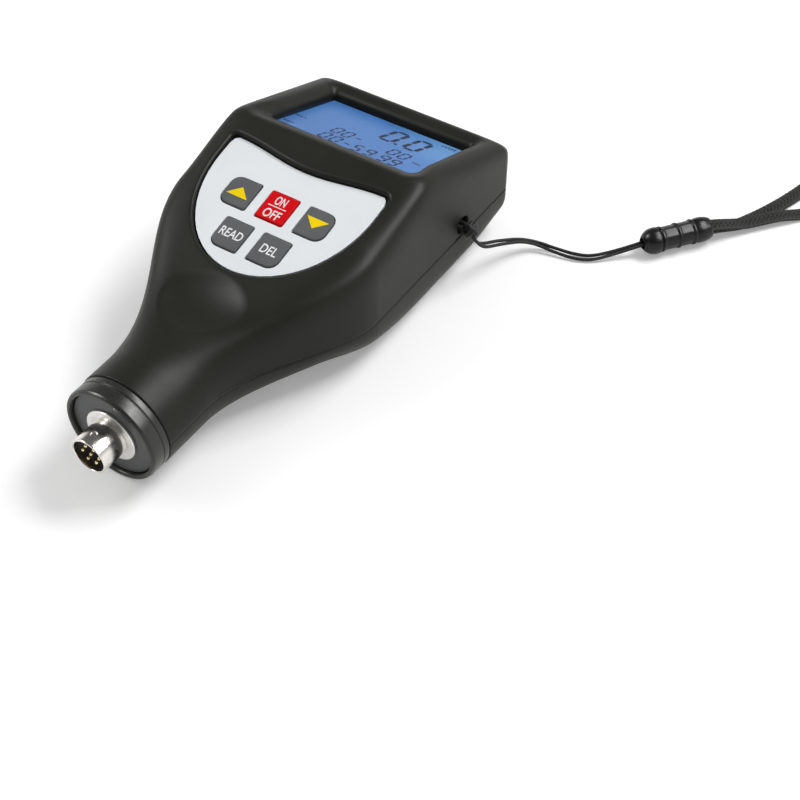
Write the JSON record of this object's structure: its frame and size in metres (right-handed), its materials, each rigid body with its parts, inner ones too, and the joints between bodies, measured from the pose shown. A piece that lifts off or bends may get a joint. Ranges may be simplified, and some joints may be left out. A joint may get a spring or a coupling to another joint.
{
  "type": "coating thickness gauge",
  "caption": "Handheld coating thickness gauge with a paddle shaped case, a sloping display hood, a small keypad, a round probe socket in the neck and a wrist strap.",
  "frame": {"origin": "middle of the gauge without its strap, on the plane of the flat back", "axes": "+Y along the neck toward the display head, +Z out of the keypad side, +X to the user's right"},
  "size_m": [0.1892, 0.3016, 0.0488],
  "materials": {
    "case": "finely textured satin",
    "cap": "semi-gloss",
    "end_plate": "satin",
    "washer": "satin",
    "socket": "polished nickel",
    "insert": "matte",
    "pins": "polished",
    "nut": "satin",
    "lens": "clear",
    "lcd": "backlit",
    "backlight": "diffuse",
    "lcd_frame": "matte",
    "contact_rubber": "matte",
    "board": "satin",
    "chips": "matte",
    "switches": "matte",
    "ribbon": "gloss",
    "label": "satin film",
    "key_grey": "satin",
    "key_red": "satin",
    "screws": "satin",
    "cells": "satin",
    "contacts": "satin",
    "cord": "woven",
    "bead": "satin",
    "band": "braided"
  },
  "bodies": {
    "case": {"front_shell": "case", "rear_shell": "case", "end_cap": "cap", "end_plate": "end_plate", "socket_washer": "washer", "socket_shell": "socket", "socket_insert": "insert", "socket_pins": "pins", "socket_nut": "nut", "display_lens": "lens", "lcd_glass": "lcd", "lcd_backlight": "backlight", "lcd_frame": "lcd_frame", "lcd_contacts": "contact_rubber", "display_board": "board", "display_chips": "chips", "key_board": "board", "key_switches": "switches", "board_ribbon": "ribbon", "keypad_label": "label", "case_screws": "screws", "board_screws": "screws", "battery_1": "cells", "battery_2": "cells", "battery_3": "cells", "battery_4": "cells", "battery_springs": "contacts", "battery_plates": "contacts", "strap_post": "contacts", "strap_cord": "cord", "strap_knot": "cord", "strap_bead": "bead", "wrist_band": "band"},
    "door": {"battery_door": "case"},
    "up_key": {"key_up": "key_grey"},
    "power_key": {"key_power": "key_red"},
    "down_key": {"key_down": "key_grey"},
    "read_key": {"key_read": "key_grey"},
    "delete_key": {"key_delete": "key_grey"}
  },
  "joints": [
    {"name": "door_slide", "type": "slide", "parent": "case", "child": "door", "axis": [0, 1, 0], "range_m": [0, 0.075]},
    {"name": "up_press", "type": "slide", "parent": "case", "child": "up_key", "axis": [0, 0.2368, -0.9715], "range_m": [0, 0.0005], "stiffness_N_per_m": 1500},
    {"name": "power_press", "type": "slide", "parent": "case", "child": "power_key", "axis": [0, 0.2368, -0.9715], "range_m": [0, 0.0005], "stiffness_N_per_m": 1500},
    {"name": "down_press", "type": "slide", "parent": "case", "child": "down_key", "axis": [0, 0.2368, -0.9715], "range_m": [0, 0.0005], "stiffness_N_per_m": 1500},
    {"name": "read_press", "type": "slide", "parent": "case", "child": "read_key", "axis": [0, 0.2368, -0.9715], "range_m": [0, 0.0005], "stiffness_N_per_m": 1500},
    {"name": "delete_press", "type": "slide", "parent": "case", "child": "delete_key", "axis": [0, 0.2368, -0.9715], "range_m": [0, 0.0005], "stiffness_N_per_m": 1500}
  ]
}
